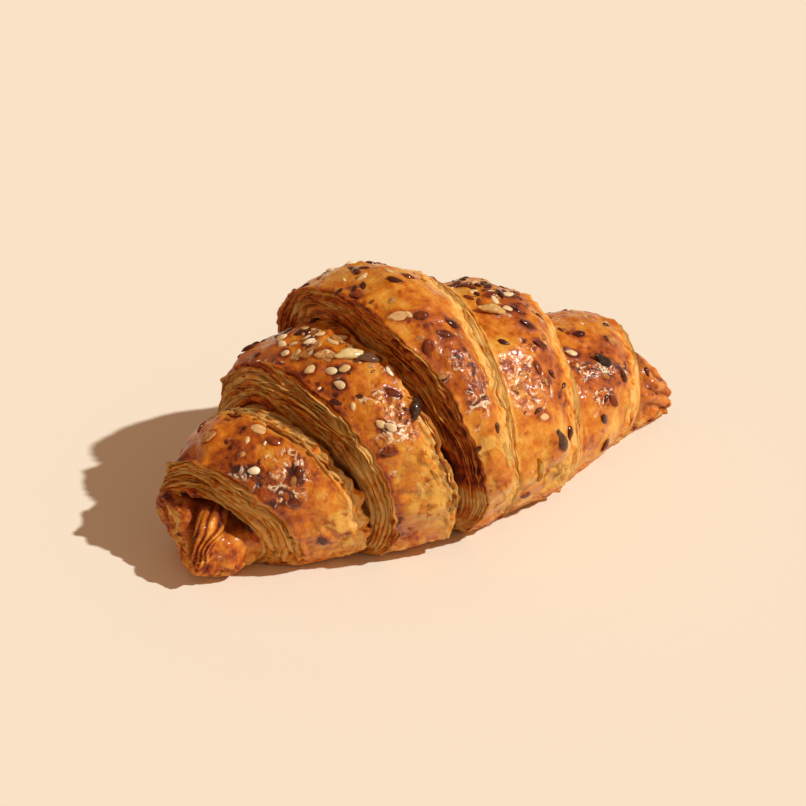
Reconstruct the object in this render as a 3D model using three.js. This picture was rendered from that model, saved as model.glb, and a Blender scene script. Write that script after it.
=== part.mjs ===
// A seeded butter croissant: one baked roll of laminated dough, and the seeds stuck to its glaze.
// Millimetres, +Z up, lying on its flat base at z = 0 with the roll along X.
// The front of the roll is towards -Y, and around it 0 degrees is the top and 90 the front.
import * as THREE from 'three';

// Driving dimensions of the roll.
const BELLY = 0.44; // height of the widest place, as a share of the height of the ring
const BASE_FLATNESS = 1.22; // how much fuller the underside is than a round one: it makes the base flat
const SIDE_BULGE = 0.35; // how far a wrap swells sideways for each millimetre that it swells upwards
const POINTS_AROUND = 48;

// The rings that the roll is drawn through, from its left end to its right end: name, then
// x: where the top of the ring is; front, back: how far the ring runs ahead of x at its front and back;
// top: its height; half: half of its width; middle: y of its middle; under: clear height below it;
// steps: how many parts the stretch before it has; bulge: how far that stretch swells.
const RING_TABLE = [
  ['nub_tip', -75.4, 2, -1.5, 12.5, 4.5, -4, 3.5, 1, 0.3],
  ['nub_face', -74.4, 7, -2.5, 18, 9.5, -2.5, 0.6, 2, 0.8],
  ['nub_curl', -72.9, 11, -4, 22, 12, 0.8, 0, 2, 0.4],
  ['low_foot', -69.9, 12, -6, 22.5, 12.2, 2.2, 0, 1, 0],
  ['low_lip', -67.4, 16, -2, 32, 18, -2, 0, 3, 0.6],
  ['low_rim', -49.4, 14.5, -6, 41, 22, -1.5, 0, 7, 2.2],
  ['shoulder_foot', -47.4, 14.5, -9, 38, 20, -1, 0, 1, 0],
  ['shoulder_lip', -43.9, 15, -5, 53, 29.5, -1.5, 0, 3, 0.8],
  ['shoulder_rim', -24.9, 10, 1.5, 57.5, 33.5, -1, 0, 7, 2.8],
  ['crown_foot', -23.9, 13, 1.5, 50.5, 29.5, -0.5, 0, 1, 0],
  ['crown_lip', -24.9, 17.5, -1, 68, 37.5, 0, 0, 4, 0.8],
  ['crown_rim', 1.1, 1.5, 6, 63.5, 36, 0.5, 0, 9, 5],
  ['slope_foot', 8.6, -3.5, 5, 58, 34.5, -0.5, 0, 2, 0.5],
  ['slope_rim', 33.1, -7, 3, 48.5, 31, 1, 0, 8, 2.8],
  ['heel_foot', 38.6, -7.5, 3, 37.5, 27.5, 1.5, 0, 2, 0.4],
  ['heel_rim', 64.6, -11.5, -1, 30.5, 21, 4.5, 0, 8, 2],
  ['tip_step', 67.1, -10, -1.5, 27.5, 19, 4.5, 0, 1, 0],
  ['tip_foot', 68.6, -8, -1.5, 22, 13.5, 2, 0, 2, 0],
  ['tip_rim', 77.6, -1.5, -1, 9.5, 4, -2, 1.5, 5, 1.5],
];
const RINGS = RING_TABLE.map(([name, x, front, back, top, half, middle, under, steps, bulge]) => (
  { name, x, front, back, top, half, middle, under, steps, bulge }
));
const POLE_OUT = 1.2; // how far each end of the roll stands out past its last ring

// Seeds: length, width, thickness, and how much narrower the pointed end is.
const SEED_GAP = 0.3; // between a seed and the crust
const SEED_KINDS = {
  sesame_seed: { length: 3.2, width: 2.1, thickness: 0.9, taper: 0.35, color: 0xf0d29a, roughness: 0.55 },
  flax_seed: { length: 4.3, width: 2.4, thickness: 1.0, taper: 0.3, color: 0x5a2713, roughness: 0.25 },
  oat_flake: { length: 4.6, width: 3.2, thickness: 0.7, taper: 0.1, color: 0xdcae74, roughness: 0.7 },
  sunflower_kernel: { length: 7.6, width: 3.2, thickness: 1.9, taper: 0.4, color: 0xe9c884, roughness: 0.5 },
  sunflower_seed: { length: 6.4, width: 3.0, thickness: 1.7, taper: 0.35, color: 0x4a3324, roughness: 0.4 },
};
const SEED_POINTS_ROUND = 8;
const SEED_POINTS_ALONG = 6;

// Where the seeds lie on each wrap's glaze: kind, share of the way across the wrap from left to right,
// degrees around the roll, and how many degrees the seed's length is turned from the roll's axis.
const SPRINKLED = {
  low_rim: [
    ['oat_flake', 0.7, 5, 60],
    ['flax_seed', 0.66, 19, 50],
    ['flax_seed', 0.52, 46, 110],
    ['sesame_seed', 0.2, 27, 40],
    ['flax_seed', 0.24, 60, 20],
    ['flax_seed', 0.3, 98, 80],
    ['oat_flake', 0.32, -16, 20],
  ],
  shoulder_rim: [
    ['sesame_seed', 0.38, -22, 10],
    ['sesame_seed', 0.18, -10, 70],
    ['oat_flake', 0.58, -17, 30],
    ['sesame_seed', 0.62, -5, 0],
    ['sesame_seed', 0.8, 1, 30],
    ['sesame_seed', 0.44, -4, 20],
    ['oat_flake', 0.28, 1, 40],
    ['sesame_seed', 0.14, 9, 10],
    ['sesame_seed', 0.28, 16, 50],
    ['oat_flake', 0.44, 8, 80],
    ['sunflower_kernel', 0.62, 14, 15],
    ['sesame_seed', 0.42, 19, 20],
    ['sunflower_seed', 0.8, 20, 15],
    ['sesame_seed', 0.22, 24, 60],
    ['sesame_seed', 0.93, 28, 80],
    ['flax_seed', 0.74, 38, 40],
    ['sesame_seed', 0.3, 49, 70],
    ['sesame_seed', 0.4, 52, 60],
    ['sunflower_seed', 0.93, 47, 110],
    ['flax_seed', 0.2, 61, 30],
    ['flax_seed', 0.22, -42, 30],
  ],
  crown_rim: [
    ['flax_seed', 0.33, 24, 20],
    ['flax_seed', 0.7, 29, 20],
    ['flax_seed', 0.47, 34, 25],
    ['flax_seed', 0.14, 36, 120],
    ['flax_seed', 0.42, 5, 40],
    ['flax_seed', 0.62, 2, 20],
    ['oat_flake', 0.14, 20, 30],
    ['flax_seed', 0.06, 1, 60],
    ['sesame_seed', 0.4, -24, 10],
    ['flax_seed', 0.55, -22, 20],
  ],
  slope_rim: [
    ['sunflower_kernel', 0.22, 12, 25],
    ['sesame_seed', 0.42, 13, 10],
    ['flax_seed', 0.32, 2, 10],
    ['sesame_seed', 0.55, 2, 20],
    ['flax_seed', 0.56, 23, 30],
    ['flax_seed', 0.62, 34, 20],
    ['flax_seed', 0.48, 45, 70],
    ['sesame_seed', 0.42, 68, 10],
    ['sunflower_seed', 0.62, 80, 60],
    ['flax_seed', 0.88, 78, 90],
    ['flax_seed', 0.14, 110, 20],
  ],
  heel_rim: [
    ['flax_seed', 0.3, 9, 20],
    ['sesame_seed', 0.12, 20, 40],
    ['oat_flake', 0.68, 20, 70],
    ['sunflower_seed', 0.48, 34, 40],
    ['flax_seed', 0.74, 48, 70],
    ['flax_seed', 0.55, 63, 60],
    ['flax_seed', 0.38, 73, 60],
    ['flax_seed', 0.5, 97, 110],
  ],
};

const SIZES = ['x', 'front', 'back', 'top', 'half', 'middle', 'under'];

// The ring a share of the way along the stretch that ends at RINGS[index].
function ringAlong(index, share) {
  const from = RINGS[index - 1];
  const to = RINGS[index];
  const ring = {};
  for (const size of SIZES) ring[size] = THREE.MathUtils.lerp(from[size], to[size], share);
  const swell = to.bulge * Math.sin(Math.PI * share);
  ring.top += swell;
  ring.half += swell * SIDE_BULGE;
  return ring;
}

// A point of a ring. The ring leans, because the dough is rolled at a slant, and stands flat on its base.
function ringPoint(ring, angle) {
  const across = Math.sin(angle);
  const up = Math.cos(angle);
  const lean = ((ring.front - ring.back) / 2) * across + ((ring.front + ring.back) / 2) * (1 - up);
  const belly = ring.under + BELLY * (ring.top - ring.under);
  const rise = up > 0 ? (ring.top - belly) * up : (belly - ring.under) * BASE_FLATNESS * up;
  return new THREE.Vector3(
    ring.x + lean,
    ring.middle - ring.half * across,
    Math.max(belly + rise, ring.under),
  );
}

// A point in the middle of an end ring, moved out along X, which closes that end.
function polePoint(ring, out) {
  const front = ringPoint(ring, Math.PI / 2);
  const back = ringPoint(ring, -Math.PI / 2);
  return front.add(back).multiplyScalar(0.5).add(new THREE.Vector3(out, 0, 0));
}

// A closed skin through the rings, with a fan of triangles on each end.
function pastryGeometry() {
  const rings = [RINGS[0]];
  RINGS.slice(1).forEach((to, before) => {
    for (let step = 1; step <= to.steps; step += 1) {
      rings.push(ringAlong(before + 1, step / to.steps));
    }
  });
  const points = [];
  for (const ring of rings) {
    for (let i = 0; i < POINTS_AROUND; i += 1) {
      points.push(ringPoint(ring, (i / POINTS_AROUND) * 2 * Math.PI));
    }
  }
  const leftPole = points.push(polePoint(rings[0], -POLE_OUT)) - 1;
  const rightPole = points.push(polePoint(rings[rings.length - 1], POLE_OUT)) - 1;
  const lastRing = (rings.length - 1) * POINTS_AROUND;
  const triangles = [];
  for (let i = 0; i < POINTS_AROUND; i += 1) {
    const next = (i + 1) % POINTS_AROUND;
    triangles.push(leftPole, next, i);
    triangles.push(rightPole, lastRing + i, lastRing + next);
    for (let row = 0; row < lastRing; row += POINTS_AROUND) {
      const across = row + POINTS_AROUND;
      triangles.push(row + i, across + next, across + i);
      triangles.push(row + i, row + next, across + next);
    }
  }
  const geometry = new THREE.BufferGeometry().setFromPoints(points);
  geometry.setIndex(triangles);
  return geometry;
}

// A flattened drop, its pointed end towards +X.
function seedGeometry(kind) {
  const geometry = new THREE.SphereGeometry(1, SEED_POINTS_ROUND, SEED_POINTS_ALONG);
  geometry.rotateZ(-Math.PI / 2);
  const place = geometry.attributes.position;
  for (let i = 0; i < place.count; i += 1) {
    const along = place.getX(i);
    const narrow = 1 - kind.taper * Math.max(along, 0);
    place.setXYZ(
      i,
      (along * kind.length) / 2,
      (place.getY(i) * narrow * kind.width) / 2,
      (place.getZ(i) * narrow * kind.thickness) / 2,
    );
  }
  return geometry;
}

// Lays a seed on the crust: its thickness along the crust's normal, its length turned from the roll's axis.
function laySeed(seed, kind, index, share, around, turn) {
  const angle = THREE.MathUtils.degToRad(around);
  const reach = 0.02;
  const here = ringPoint(ringAlong(index, share), angle);
  const along = ringPoint(ringAlong(index, share + reach), angle).sub(here).normalize();
  const down = ringPoint(ringAlong(index, share), angle + reach).sub(here).normalize();
  const normal = new THREE.Vector3().crossVectors(down, along).normalize();
  const side = new THREE.Vector3().crossVectors(normal, along);
  seed.quaternion.setFromRotationMatrix(new THREE.Matrix4().makeBasis(along, side, normal));
  seed.rotateZ(-THREE.MathUtils.degToRad(turn));
  seed.position.copy(here).addScaledVector(normal, kind.thickness / 2 + SEED_GAP);
}

const croissant = new THREE.Group();

const crust = new THREE.MeshStandardMaterial({ color: 0xc8701d, roughness: 0.4, metalness: 0 });
const pastry = new THREE.Mesh(pastryGeometry(), crust);
pastry.name = 'pastry';
croissant.add(pastry);

const counts = {};
for (const [wrap, seeds] of Object.entries(SPRINKLED)) {
  const index = RINGS.findIndex((ring) => ring.name === wrap);
  for (const [kindName, share, around, turn] of seeds) {
    const kind = SEED_KINDS[kindName];
    const { color, roughness } = kind;
    const husk = new THREE.MeshStandardMaterial({ color, roughness, metalness: 0 });
    const seed = new THREE.Mesh(seedGeometry(kind), husk);
    counts[kindName] = (counts[kindName] ?? 0) + 1;
    seed.name = `${kindName}_${String(counts[kindName]).padStart(2, '0')}`;
    laySeed(seed, kind, index, share, around, turn);
    croissant.add(seed);
  }
}

export default croissant;
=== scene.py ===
import math
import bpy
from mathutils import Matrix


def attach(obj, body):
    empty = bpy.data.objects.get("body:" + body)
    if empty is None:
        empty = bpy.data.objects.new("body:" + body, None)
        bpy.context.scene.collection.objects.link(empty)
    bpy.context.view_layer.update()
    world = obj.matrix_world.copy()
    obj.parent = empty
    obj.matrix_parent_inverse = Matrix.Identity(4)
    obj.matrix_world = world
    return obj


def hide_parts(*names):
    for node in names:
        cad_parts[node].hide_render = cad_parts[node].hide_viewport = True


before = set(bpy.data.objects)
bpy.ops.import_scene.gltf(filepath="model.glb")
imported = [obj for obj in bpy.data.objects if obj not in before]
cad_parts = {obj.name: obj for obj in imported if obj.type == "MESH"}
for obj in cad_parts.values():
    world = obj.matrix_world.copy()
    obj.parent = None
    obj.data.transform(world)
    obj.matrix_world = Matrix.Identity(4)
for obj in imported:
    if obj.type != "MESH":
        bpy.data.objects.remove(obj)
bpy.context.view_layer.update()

from types import SimpleNamespace

import bpy
import numpy as np
from mathutils import Vector, noise
from mathutils.bvhtree import BVHTree

mm = 0.001
print("croissant: CAD frame loaded,", len(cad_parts), "nodes")

# The rings that the roll is drawn through, left to right, in mm. 0 degrees is the top, 90 the front.
# name, x of the top, lead of the front, lead of the back, height, half width, middle, clear below, swell
ringTable = [
    ("nubPole", -75.9, 0.0, 0.0, 8.2, 0.02, -4.0, 8.1, 0.0),
    ("nubTip", -75.4, 2.0, -1.5, 12.5, 4.5, -4.0, 3.5, 0.3),
    ("nubFace", -74.4, 7.0, -2.5, 18.0, 9.5, -2.5, 0.6, 0.8),
    ("nubCurl", -72.9, 11.0, -4.0, 22.0, 12.0, 0.8, 0.0, 0.4),
    ("lowFoot", -69.9, 12.0, -6.0, 22.5, 12.2, 2.2, 0.0, 0.0),
    ("lowLip", -67.4, 16.0, -2.0, 32.0, 18.0, -2.0, 0.0, 0.6),
    ("lowRim", -49.4, 14.5, -6.0, 41.0, 22.0, -1.5, 0.0, 2.2),
    ("shoulderFoot", -47.4, 14.5, -9.0, 38.0, 20.0, -1.0, 0.0, 0.0),
    ("shoulderLip", -43.9, 15.0, -5.0, 53.0, 29.5, -1.5, 0.0, 0.8),
    ("shoulderRim", -24.9, 10.0, 1.5, 57.5, 33.5, -1.0, 0.0, 2.8),
    ("crownFoot", -23.9, 13.0, 1.5, 50.5, 29.5, -0.5, 0.0, 0.0),
    ("crownLip", -24.9, 17.5, -1.0, 68.0, 37.5, 0.0, 0.0, 0.8),
    ("crownRim", 1.1, 1.5, 6.0, 63.5, 36.0, 0.5, 0.0, 5.0),
    ("slopeFoot", 8.6, -3.5, 5.0, 58.0, 34.5, -0.5, 0.0, 0.5),
    ("slopeRim", 33.1, -7.0, 3.0, 48.5, 31.0, 1.0, 0.0, 2.8),
    ("heelFoot", 38.6, -7.5, 3.0, 37.5, 27.5, 1.5, 0.0, 0.4),
    ("heelRim", 64.6, -11.5, -1.0, 30.5, 21.0, 4.5, 0.0, 2.0),
    ("tipStep", 67.1, -10.0, -1.5, 27.5, 19.0, 4.5, 0.0, 0.0),
    ("tipFoot", 68.6, -8.0, -1.5, 22.0, 13.5, 2.0, 0.0, 0.0),
    ("tipRim", 77.6, -1.5, -1.0, 9.5, 4.0, -2.0, 1.5, 1.5),
    ("tipPole", 77.6, 0.0, 0.0, 5.4, 0.02, -2.0, 5.2, 0.0),
]
ringIndex = {row[0]: number for number, row in enumerate(ringTable)}
ringSizes = np.array([row[1:] for row in ringTable])

crust = {
    "around": 206,          # points round the roll
    "belly": 0.44,          # height of the widest place, as a share of the ring's height
    "flatness": 1.22,       # how much fuller the underside is than a round one
    "sideSwell": 0.35,      # sideways swell for each mm of upward swell
    "lumps": (14.0, 0.8),   # size and height of the crust's soft unevenness
    "dimples": (5.0, 0.35),
    "wrinkles": (2.6, 0.22),
    "blisters": (3.4, 0.45),
    "flakes": (6.5, 1.2),   # size and height of the flakes of lifted skin
    "gapDepth": 3.4,        # how far the dark gaps behind the rims go in
    "core": 20.0,           # height of the roll's core, from which outwards is told
}
# the edges of the sheets that show in a strip, lengths in mm
sheetForm = {
    "wave": (17.0, 1.6),    # length of the sheets' waves, and how many sheets they wander by
    "ripple": (7.0, 0.16),
    "stretch": 0.6,         # waves are longer along the roll
    "apart": 9.7,           # keeps each sheet's shape unlike the next one's
    "reach": (11.0, 0.75),  # length over which an edge reaches out or in, and how far
    "ragged": (3.0, 0.25),
    "tone": (12.0, 0.5),    # length over which a sheet is browner or paler, and how much its lower half is
    "edge": 0.55,           # the less, the blunter the edges
    "fade": 0.06,           # share of the strip over which the relief starts
    "groove": 1.7,          # the more, the narrower the dark grooves
}
# the crumbly foot along the base, lengths in mm
foot = {
    "from": -56.0,          # x past which there is one
    "height": (12.0, 4.0),  # where it starts and where it is full
    "uneven": (7.0, 2.5),
    "crumb": (1.7, 0.2),    # size and height of crumbs, lumps and pits
    "lump": (3.2, 0.3),
    "pit": (1.5, 0.4),
    "bake": 0.24,
}
# stretch by its end ring: rows of points, what it is, sheets of dough that show, how far they stand out, and
# how brown it is
stretches = {
    "nubTip": (9, "nub", 0, 0.0, 0.5),
    "nubFace": (20, "nub", 0, 0.0, 0.5),
    "nubCurl": (14, "nub", 0, 0.0, 0.5),
    "lowFoot": (10, "nub", 0, 0.0, 0.5),
    "lowLip": (54, "sheets", 6, 1.0, 0.2),
    "lowRim": (32, "glaze", 0, 0.0, 0.0),
    "shoulderFoot": (8, "gap", 0, 0.0, 0.0),
    "shoulderLip": (64, "sheets", 8, 1.0, 0.2),
    "shoulderRim": (34, "glaze", 0, 0.0, 0.0),
    "crownFoot": (9, "gap", 0, 0.0, 0.0),
    # the crown's strip is browner than the others, as painted shade on the side turned from the sun
    "crownLip": (56, "sheets", 8, 0.85, 0.36),
    "crownRim": (38, "glaze", 0, 0.0, 0.0),
    "slopeFoot": (18, "pale", 4, 0.35, 0.0),
    "slopeRim": (32, "glaze", 0, 0.0, 0.0),
    "heelFoot": (16, "pale", 4, 0.35, 0.06),
    "heelRim": (30, "glaze", 0, 0.0, 0.0),
    "tipStep": (8, "pale", 2, 0.4, 0.2),
    "tipFoot": (7, "gap", 0, 0.0, 0.0),
    "tipRim": (20, "glaze", 0, 0.0, 0.0),
    "tipPole": (4, "glaze", 0, 0.0, 0.0),
}


def linear(code):  # sRGB hex to linear RGBA
    parts = [int(code[i:i + 2], 16) / 255 for i in (1, 3, 5)]
    return [p / 12.92 if p <= 0.04045 else ((p + 0.055) / 1.055) ** 2.4 for p in parts] + [1.0]


# adds a node with its settings and links; a linked node stands for its first output
def node(tree, kind, settings=None, links=None):
    made = tree.nodes.new(kind)
    for name, value in (settings or {}).items():
        if isinstance(name, str) and hasattr(made, name):
            setattr(made, name, value)
        else:
            made.inputs[name].default_value = value
    for name, source in (links or {}).items():
        output = source.outputs[0] if isinstance(source, bpy.types.Node) else source
        tree.links.new(output, made.inputs[name])
    return made


def ringsBetween(index, share):  # ring sizes part of the way along the stretch that ends at a ring
    sizes = ringSizes[index - 1] + (ringSizes[index] - ringSizes[index - 1]) * share[..., None]
    swell = ringSizes[index][7] * np.sin(np.pi * share)
    sizes[..., 3] += swell
    sizes[..., 4] += swell * crust["sideSwell"]
    return sizes


def onRing(sizes, angle):  # points of leaning rings that stand on a flat base
    x, front, back, top, half, middle, under = (sizes[..., k] for k in range(7))
    across, up = np.sin(angle), np.cos(angle)
    lean = (front - back) / 2 * across + (front + back) / 2 * (1 - up)
    belly = under + crust["belly"] * (top - under)
    rise = np.where(up > 0, (top - belly) * up, (belly - under) * crust["flatness"] * up)
    return np.stack([x + lean, middle - half * across, np.maximum(belly + rise, under)], -1)


def wrapPoint(ring, share, around):  # a point on a wrap's smooth surface, in mm
    sizes = ringsBetween(ringIndex[ring], np.array(float(share)))
    return onRing(sizes, np.array(math.radians(around)))


# how far apart each seed's noise is read, and what brings the smooth noise to about -1 to 1
noiseStep = {"field": 31.7, "cells": 13.7, "value": 7.3, "spread": 1.6}


def field(points, size, seed):  # smooth noise from about -1 to 1, points and size in mm
    flat = (points.reshape(-1, 3) / size + seed * noiseStep["field"]).tolist()
    return np.array([noise.noise(p) for p in flat]).reshape(points.shape[:-1]) * noiseStep["spread"]


def cells(points, size, seed):  # distance to the nearest cell's middle and the next's, and the cell's value
    flat = (points.reshape(-1, 3) / size + seed * noiseStep["cells"]).tolist()
    found = [noise.voronoi(p) for p in flat]
    nearest = np.array([d[0] for d, _ in found]).reshape(points.shape[:-1])
    second = np.array([d[1] for d, _ in found]).reshape(points.shape[:-1])
    value = np.array([noise.cell(c[0] * noiseStep["value"]) for _, c in found]).reshape(points.shape[:-1])
    return nearest, second, value


def smooth(low, high, value):
    t = np.clip((value - low) / (high - low), 0, 1)
    return t * t * (3 - 2 * t)


def near(distance, reach):
    return np.exp(-(distance / reach) ** 2)


def layRows():  # every row's stretch, its share of the way along it, and the row that each ring is on
    index, share, ringRow = [], [], {"nubPole": 0}
    for number in range(1, len(ringTable)):
        count = stretches[ringTable[number][0]][0]
        steps = np.arange(0 if number == 1 else 1, count + 1) / count
        index += [number] * len(steps)
        share += steps.tolist()
        ringRow[ringTable[number][0]] = len(index) - 1
    return np.array(index), np.array(share), ringRow


def spreadAngles(count):  # angles round the roll, closer together over the top and front than underneath
    fine = np.linspace(-np.pi, np.pi, 3601)  # every tenth of a degree
    front = smooth(-0.9, 0.2, fine) * smooth(2.4, 1.9, fine)
    weight = 1 + 0.45 * front - 0.7 * smooth(2.4, 2.7, np.abs(fine))
    total = np.cumsum(weight)
    return np.interp(np.arange(count) / count * total[-1], total, fine)


rowIndex, rowShare, ringRow = layRows()
angles = spreadAngles(crust["around"])
angleGrid = np.broadcast_to(angles, (len(rowIndex), len(angles)))


def smoothShape():
    sizes = np.zeros((len(rowIndex), 7))
    for number in range(1, len(ringTable)):
        mask = rowIndex == number
        sizes[mask] = ringsBetween(number, rowShare[mask])[:, :7]
    return onRing(sizes[:, None, :], angleGrid)


def outward(points):  # unit normals of the grid, softened along the roll so that steps don't fold
    along = np.gradient(points, axis=0)
    aroundIt = np.roll(points, -1, 1) - np.roll(points, 1, 1)
    normal = np.cross(aroundIt, along)
    normal /= np.maximum(np.linalg.norm(normal, axis=-1, keepdims=True), 1e-9)
    for _ in range(6):
        padded = np.concatenate([normal[:1], normal, normal[-1:]])
        normal = (padded[:-2] + 2 * padded[1:-1] + padded[2:]) / 4
    return normal / np.maximum(np.linalg.norm(normal, axis=-1, keepdims=True), 1e-9)


def fromRing(run, name):  # distance along the crust from a ring, in mm
    return np.abs(run - run[ringRow[name]])


def tornEdge(points, run, name, reach, wander, seed):  # lets a ring's edge wander along the roll
    edge = points[ringRow[name]]
    shift = field(edge, 7.0, seed) + 0.7 * field(edge, 2.2, seed + 1)
    return near(fromRing(run, name), reach) * wander * shift


def sheets(points, share, count, seed):  # edges of dough sheets: how far out, tone, groove, and sheet number
    (wave, sway), (ripple, shake) = sheetForm["wave"], sheetForm["ripple"]
    wander = sway * field(points * np.array([sheetForm["stretch"], 1.0, 1.0]), wave, seed)
    phase = share * count + (wander + shake * field(points, ripple, seed + 3))
    sheet = np.floor(phase)
    part = phase - sheet
    ridge = np.sin(np.pi * part) ** sheetForm["edge"]
    place = np.stack([sheet * sheetForm["apart"], points[..., 1] + points[..., 0] * 0.3, points[..., 2]], -1)
    (size, far), (ragged, tear) = sheetForm["reach"], sheetForm["ragged"]
    reach = field(place, size, seed + 5) + tear * field(place, ragged, seed + 6)
    tone = field(place, sheetForm["tone"][0], seed + 7) + sheetForm["tone"][1] * (0.5 - part)
    out = ridge * (0.8 + far * reach) + 0.3 * (part - 0.5) - 0.75
    return out, tone, 1 - ridge, phase


def seedAxes(points):  # a seed's middle, and its long, wide and thin directions, the thin one outwards
    middle = points.mean(0)
    _, turn = np.linalg.eigh(np.cov((points - middle).T))
    length, thin = turn[:, 2], turn[:, 0]
    if thin @ (middle - np.array([middle[0], 0.0, crust["core"] * mm])) < 0:
        thin = -thin
    return middle, np.stack([length, np.cross(thin, length), thin], 1)


seedSpots = {}
for nodeName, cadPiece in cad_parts.items():
    if nodeName != "pastry":
        seedSpots[nodeName] = seedAxes(np.array([v.co[:] for v in cadPiece.data.vertices]))

# Lengths in these tables are in mm, and tones run from pale to browned.
# where the oven made the crust browner (+) or paler (-): wrap's end ring, share, degrees, reach, tone
toneSpots = [
    ("crownRim", 0.45, 52, 6, 0.2), ("crownRim", 0.15, 42, 5, 0.1), ("crownRim", 0.75, 60, 5, 0.14),
    ("crownRim", 0.5, -5, 14, -0.1), ("crownRim", 0.55, 82, 9, -0.12), ("crownRim", 0.4, 100, 7, 0.22),
    ("crownRim", 0.45, 28, 6, 0.16), ("crownRim", 0.5, -60, 14, 0.15),
    ("shoulderRim", 0.85, 78, 8, -0.3), ("shoulderRim", 0.9, 98, 9, -0.22),
    ("shoulderRim", 0.25, 40, 8, -0.06), ("shoulderRim", 0.2, 70, 7, 0.02),
    ("shoulderRim", 0.5, -75, 12, 0.14), ("shoulderRim", 0.3, -15, 8, 0.12),
    ("lowRim", 0.25, 12, 6, 0.2), ("lowRim", 0.5, 35, 6, 0.06), ("lowRim", 0.2, 50, 5, 0.18),
    ("lowRim", 0.6, 85, 7, -0.15), ("lowRim", 0.4, -60, 9, 0.15),
    ("slopeRim", 0.3, 95, 12, -0.2), ("slopeRim", 0.85, 95, 8, -0.16), ("slopeRim", 0.7, 40, 8, 0.2),
    ("slopeRim", 0.4, 14, 9, 0.28), ("slopeRim", 0.5, 66, 8, 0.12), ("slopeRim", 0.5, -70, 14, -0.05),
    ("heelRim", 0.6, 85, 9, -0.18), ("heelRim", 0.4, 20, 8, 0.08), ("heelRim", 0.4, 52, 8, 0.16),
    ("tipRim", 0.2, 60, 5, 0.18), ("tipRim", 0.2, -30, 8, 0.1),
]
# places where egg wash pooled in crinkles, with a stronger coat bump, a fuller coat, browner pits and painted
# glints on the crests: wrap's end ring, share, degrees, reach
wetGlintPlaces = [
    ("lowRim", 0.1, 24, 2.0), ("lowRim", 0.26, 42, 2.6), ("lowRim", 0.5, 42, 3.6), ("lowRim", 0.33, 53, 2.8),
    ("shoulderRim", 0.5, 38, 2.4), ("shoulderRim", 0.45, 54, 4.0), ("shoulderRim", 0.62, 50, 4.4),
    ("crownRim", 0.38, 46, 2.6), ("crownRim", 0.62, 54, 4.4), ("crownRim", 0.45, 62, 3.4),
    ("slopeRim", 0.3, 50, 4.6), ("slopeRim", 0.55, 54, 2.8), ("slopeRim", 0.12, 40, 2.2),
    ("heelRim", 0.3, 36, 2.8), ("heelRim", 0.46, 40, 2.4), ("heelRim", 0.72, 42, 2.0),
    ("heelRim", 0.4, 58, 2.2), ("slopeRim", 0.4, -50, 4.0), ("crownRim", 0.5, -48, 5.0),
    ("shoulderRim", 0.5, -52, 4.5), ("heelRim", 0.4, -45, 3.5),
]
# places where the thin skin has lifted in flat flakes: wrap's end ring, share, degrees, reach
flakyPlaces = [
    ("shoulderRim", 0.7, 84, 11), ("shoulderRim", 0.5, 104, 8), ("crownRim", 0.6, 84, 8),
    ("slopeRim", 0.6, 88, 7), ("slopeRim", 0.5, 110, 10), ("lowRim", 0.5, 95, 7), ("crownRim", 0.5, 104, 8),
    ("slopeRim", 0.4, -80, 14), ("heelRim", 0.5, -75, 9), ("shoulderRim", 0.5, -90, 10),
]
# holes where a wrap's rim has lifted off the next one, pushed in and given painted shade: ring, degrees,
# reach in degrees, how deep
rimHoles = [
    ("shoulderFoot", 12, 10, 1.4), ("shoulderFoot", 36, 10, 1.3), ("shoulderFoot", 66, 20, 1.1),
    ("crownFoot", -8, 12, 0.7), ("crownFoot", 35, 30, 0.9), ("crownFoot", 75, 25, 0.8),
]
# the dark of these gaps is painted shade
rimGaps = {"shoulderFoot": 0.45, "crownFoot": 1.0, "tipFoot": 0.5}  # dark gaps along a ring: how deep
# lips along the wraps' rims: how wide, how far up, how much paler, how torn, and how much crumb shows
rimLips = {
    "lowRim": (3.4, 0.9, -0.3, 0.45, 0.95),
    "shoulderRim": (1.6, 0.4, -0.16, 0.5, 0.8),
    "crownRim": (3.4, 0.15, -0.24, 0.15, 0.7),
    "slopeRim": (3.4, 0.15, -0.24, 0.15, 0.7),
    "heelRim": (2.8, 0.15, -0.2, 0.15, 0.7),
}
# edges that wander along the roll: reach, wander, how far up, tone
wanderingEdges = {
    "lowRim": (2.2, 1.5, 0.2, 0.0),
    "shoulderRim": (3.0, 0.8, 0.0, 0.0),
    "lowLip": (3.0, 1.0, 0.4, 0.22),
    "shoulderLip": (3.0, 1.1, 0.4, 0.26),
    "crownLip": (3.4, 0.9, 0.3, 0.04),
    "crownRim": (3.0, 0.9, 0.3, -0.15),
    "slopeRim": (3.0, 0.8, 0.3, -0.15),
    "heelRim": (3.0, 0.7, 0.3, -0.1),
}
# painted light and shade: the low and shoulder strips are paler at the front, as painted light, and the
# crown's strip is darker there, as painted shade
frontLightAndShade = {"lowLip": 0.1, "shoulderLip": 0.3, "crownLip": -0.3}  # how much paler strips get at the front
leftEnd = {
    "foldFoot": (-75.2, -5.8, 2.0),     # where the pinched pleats meet, low on the end face
    "level": (0.72, -0.69, 0.0),        # level, across the end face
    "pleatWidth": 2.4,                  # degrees between pleats
    "beak": 1.6,                        # how far the pinched fold stands out
    "hollow": 4.4,                      # how far in the hollow behind the hood goes
    "hollowWay": (0.68, 0.68, -0.1),
    "hood": 0.9,                        # how far the hood's edge stands out over the hollow
    "hoodWay": (-1.0, -0.9, 0.2),
    "cleft": 3.0,                       # how deep the cleft beside the fold is
    "dent": (-66.8, -9.4, 16.2),
    "dentDepth": 1.6,
    "lobe": (-66.7, -11.3, 12.2),
    "lobeRise": 1.0,
}
rightEnd = {"creases": (-32.0, 10.0, 38.0, 74.0, 108.0), "depth": 0.9, "bulge": 0.5}


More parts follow.
